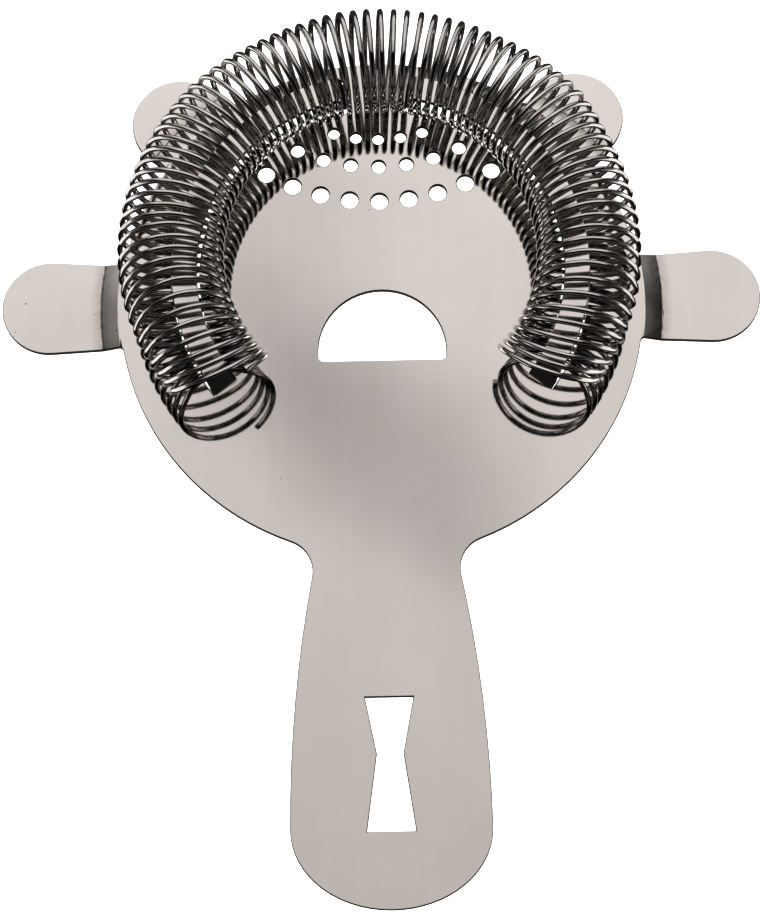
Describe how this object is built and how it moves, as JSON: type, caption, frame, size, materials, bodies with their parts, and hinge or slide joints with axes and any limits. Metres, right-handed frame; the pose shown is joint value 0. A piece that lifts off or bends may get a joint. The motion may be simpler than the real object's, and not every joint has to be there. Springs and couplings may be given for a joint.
{
  "type": "hawthorne strainer",
  "caption": "Bar strainer: a flat stamped steel disc with a handle, rest ears, straining holes and a coil spring threaded round its front edge.",
  "frame": {"origin": "middle of the object's box in X and Y, on the plane that the ears' undersides rest on", "axes": "+Y from the handle towards the spring's front, +Z towards the spring side, +X to the right ear"},
  "size_m": [0.1338, 0.1564, 0.0204],
  "materials": {
    "satin_steel": "satin",
    "spring_wire": "polished"
  },
  "bodies": {
    "root": {"plate": "satin_steel"},
    "spring": {"spring": "spring_wire"}
  },
  "joints": [
    {"name": "spring_press", "type": "slide", "parent": "root", "child": "spring", "axis": [0, -1, 0], "range_m": [0, 0.001], "stiffness_N_per_m": 400, "deforming": ["spring"]}
  ]
}
